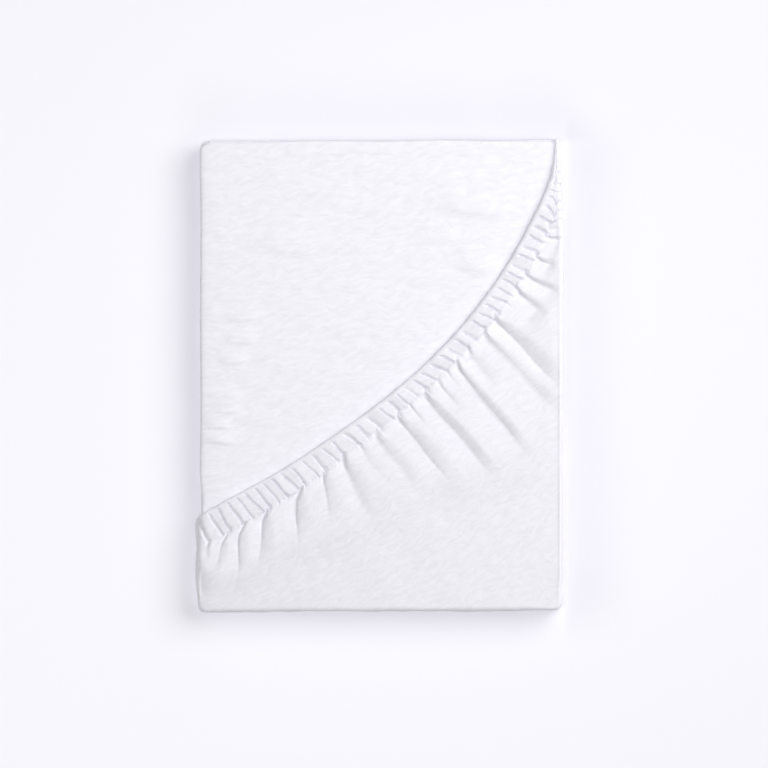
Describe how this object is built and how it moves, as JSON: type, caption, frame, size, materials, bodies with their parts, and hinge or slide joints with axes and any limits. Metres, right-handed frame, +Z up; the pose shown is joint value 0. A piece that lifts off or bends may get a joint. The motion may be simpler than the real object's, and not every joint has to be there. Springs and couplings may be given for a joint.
{
  "type": "folded mattress protector",
  "caption": "Fitted mattress protector folded into a flat packet and held in the gathered, elasticated corner of its own skirt.",
  "frame": {"origin": "centre of the packet's footprint, on the surface that it lies on", "axes": "+X to the right across the packet, +Y along its length away from the tucked end, +Z up out of its top face"},
  "size_m": [0.3098, 0.3961, 0.0369],
  "materials": {
    "panel_cotton": "bleached white cotton, brushed matt",
    "skirt_cotton": "bleached white cotton, brushed matt"
  },
  "bodies": {
    "root": {"folded_panel": "panel_cotton", "gathered_skirt": "skirt_cotton"}
  },
  "joints": []
}
